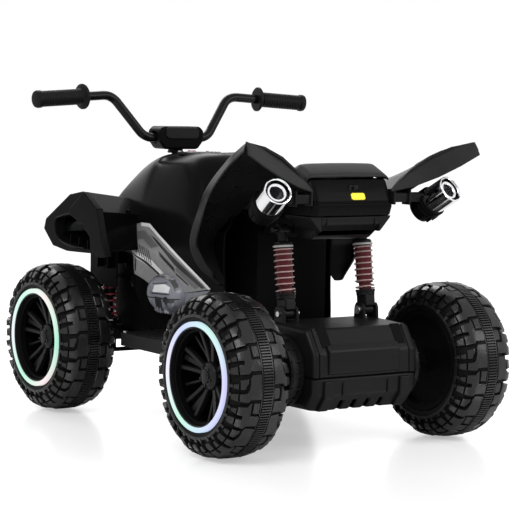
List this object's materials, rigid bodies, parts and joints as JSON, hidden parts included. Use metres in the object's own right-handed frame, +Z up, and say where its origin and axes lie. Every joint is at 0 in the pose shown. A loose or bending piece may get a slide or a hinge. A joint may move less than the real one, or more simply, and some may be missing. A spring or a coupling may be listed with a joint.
{
  "type": "kids quad bike",
  "caption": "Battery ride-on quad bike for children with glowing wheel rings, swept fenders, sprung axles, turning handlebar, lifting seat and foot pedal.",
  "frame": {"origin": "on the floor, midway between the axles, in the middle plane", "axes": "+X forward, +Y to the rider's left, +Z up"},
  "size_m": [0.9199, 0.657, 0.6668],
  "materials": {
    "shell_black": "gloss",
    "chassis_black": "satin",
    "seat_black": "fine grain",
    "engine_grey": "satin",
    "dash_black": "satin",
    "lens": "clear",
    "chrome": "polished",
    "steel": "plain",
    "black_metal": "satin",
    "spring_red": "gloss",
    "spring_pale": "gloss",
    "grip_rubber": "matte",
    "tyre_black": "satin",
    "rim_black": "satin",
    "ring_light": "frosted, lit from inside",
    "gear_white": "plain",
    "pedal_black": "matte",
    "button_red": "gloss",
    "switch_grey": "plain"
  },
  "bodies": {
    "chassis": {"battery": "chassis_black", "body_shell": "shell_black", "chassis_tub": "chassis_black", "control_module": "chassis_black", "dash_panel": "dash_black", "engine_covers": "engine_grey", "exhaust_cans": "chassis_black", "exhaust_tips": "chrome", "foot_rest_left": "chassis_black", "foot_rest_right": "chassis_black", "front_bumper": "shell_black", "front_fender_left": "shell_black", "front_fender_right": "shell_black", "front_springs": "spring_red", "front_strut_tubes": "black_metal", "headlights": "lens", "pivot_pins": "steel", "rear_fender_left": "shell_black", "rear_fender_right": "shell_black", "screws": "steel", "shock_tower": "chassis_black", "tail_housing": "shell_black"},
    "front_axle": {"front_beam": "black_metal"},
    "knuckle_left": {"knuckle_left": "black_metal"},
    "knuckle_right": {"knuckle_right": "black_metal"},
    "tie_rod": {"tie_rod": "black_metal"},
    "steering": {"steering_column": "black_metal", "handlebar": "black_metal", "grips": "grip_rubber", "handlebar_cover": "shell_black"},
    "wheel_front_left": {"tyre_front_left": "tyre_black", "rim_front_left": "rim_black", "light_ring_front_left": "ring_light"},
    "wheel_front_right": {"tyre_front_right": "tyre_black", "rim_front_right": "rim_black", "light_ring_front_right": "ring_light"},
    "wheel_rear_left": {"tyre_rear_left": "tyre_black", "rim_rear_left": "rim_black", "light_ring_rear_left": "ring_light", "drive_gear_left": "gear_white"},
    "wheel_rear_right": {"tyre_rear_right": "tyre_black", "rim_rear_right": "rim_black", "light_ring_rear_right": "ring_light", "drive_gear_right": "gear_white"},
    "pinion_left": {"motor_pinion_left": "gear_white"},
    "pinion_right": {"motor_pinion_right": "gear_white"},
    "rear_swing": {"swing_arm": "black_metal", "axle_cover": "chassis_black", "skid_plate": "chassis_black", "rear_axle": "steel", "gearbox_cases": "chassis_black", "motors": "steel", "shock_bolts": "steel"},
    "shock_rods": {"rear_shock_rods": "black_metal", "rear_springs": "spring_pale"},
    "shock_tubes": {"rear_shock_tubes": "black_metal"},
    "seat": {"seat": "seat_black"},
    "pedal": {"accelerator_pedal": "pedal_black"},
    "start_button": {"start_button": "button_red"},
    "direction_switch": {"direction_switch": "switch_grey"}
  },
  "joints": [
    {"name": "front_suspension", "type": "slide", "parent": "chassis", "child": "front_axle", "axis": [0, 0, 1], "range_m": [0, 0.012], "stiffness_N_per_m": 5000, "springref_m": -0.03, "deforming": ["front_springs"]},
    {"name": "steer", "type": "hinge", "parent": "chassis", "child": "steering", "pos_m": [0.282, 0, 0.3], "axis": [0, 0, 1], "range_deg": [-20, 20]},
    {"name": "knuckle_left_turn", "type": "hinge", "parent": "front_axle", "child": "knuckle_left", "pos_m": [0.31, 0.178, 0.15], "axis": [0, 0, 1], "range_deg": [-20, 20]},
    {"name": "knuckle_right_turn", "type": "hinge", "parent": "front_axle", "child": "knuckle_right", "pos_m": [0.31, -0.178, 0.15], "axis": [0, 0, 1], "range_deg": [-20, 20]},
    {"name": "tie_rod_pivot", "type": "hinge", "parent": "knuckle_left", "child": "tie_rod", "pos_m": [0.27, 0.178, 0.121], "axis": [0, 0, 1], "range_deg": [-20, 20]},
    {"name": "rear_suspension", "type": "hinge", "parent": "chassis", "child": "rear_swing", "pos_m": [-0.175, 0, 0.15], "axis": [0, 1, 0], "range_deg": [0, 5], "stiffness_Nm_per_rad": 70, "springref_deg": -17.19, "deforming": ["rear_springs"]},
    {"name": "shock_rod_pivot", "type": "hinge", "parent": "chassis", "child": "shock_rods", "pos_m": [-0.253, 0, 0.405], "axis": [0, 1, 0], "range_deg": [-3.1, 0.1]},
    {"name": "shock_tube_pivot", "type": "hinge", "parent": "rear_swing", "child": "shock_tubes", "pos_m": [-0.274, 0, 0.25], "axis": [0, 1, 0], "range_deg": [-8.2, 0.1]},
    {"name": "seat_lift", "type": "hinge", "parent": "chassis", "child": "seat", "pos_m": [-0.025, 0, 0.438], "axis": [0, 1, 0], "range_deg": [0, 45]},
    {"name": "pedal_press", "type": "hinge", "parent": "chassis", "child": "pedal", "pos_m": [0.02, -0.177, 0.187], "axis": [0, 1, 0], "range_deg": [0, 12], "stiffness_Nm_per_rad": 0.6, "springref_deg": -14.32},
    {"name": "start_press", "type": "slide", "parent": "chassis", "child": "start_button", "axis": [0, 0, -1], "range_m": [0, 0.0025], "stiffness_N_per_m": 300, "springref_m": -0.002},
    {"name": "direction_rock", "type": "hinge", "parent": "chassis", "child": "direction_switch", "pos_m": [0.15, -0.016, 0.5305], "axis": [0, 1, 0], "range_deg": [-8, 8]},
    {"name": "wheel_front_left_spin", "type": "hinge", "parent": "knuckle_left", "child": "wheel_front_left", "pos_m": [0.31, 0.254, 0.15], "axis": [0, 1, 0], "continuous": true},
    {"name": "wheel_front_right_spin", "type": "hinge", "parent": "knuckle_right", "child": "wheel_front_right", "pos_m": [0.31, -0.254, 0.15], "axis": [0, 1, 0], "continuous": true},
    {"name": "wheel_rear_left_spin", "type": "hinge", "parent": "rear_swing", "child": "wheel_rear_left", "pos_m": [-0.31, 0.254, 0.15], "axis": [0, 1, 0], "continuous": true},
    {"name": "wheel_rear_right_spin", "type": "hinge", "parent": "rear_swing", "child": "wheel_rear_right", "pos_m": [-0.31, -0.254, 0.15], "axis": [0, 1, 0], "continuous": true},
    {"name": "pinion_left_spin", "type": "hinge", "parent": "rear_swing", "child": "pinion_left", "pos_m": [-0.262, 0.13, 0.15], "axis": [0, 1, 0], "continuous": true},
    {"name": "pinion_right_spin", "type": "hinge", "parent": "rear_swing", "child": "pinion_right", "pos_m": [-0.262, -0.13, 0.15], "axis": [0, 1, 0], "continuous": true}
  ],
  "couplings": [
    {"joint": "knuckle_left_turn", "follows": "steer", "ratio": 1},
    {"joint": "knuckle_right_turn", "follows": "steer", "ratio": 1},
    {"joint": "tie_rod_pivot", "follows": "steer", "ratio": -1},
    {"joint": "shock_rod_pivot", "follows": "rear_suspension", "ratio": -0.6},
    {"joint": "shock_tube_pivot", "follows": "rear_suspension", "ratio": -1.6},
    {"joint": "pinion_left_spin", "follows": "wheel_rear_left_spin", "ratio": -3},
    {"joint": "pinion_right_spin", "follows": "wheel_rear_right_spin", "ratio": -3}
  ]
}
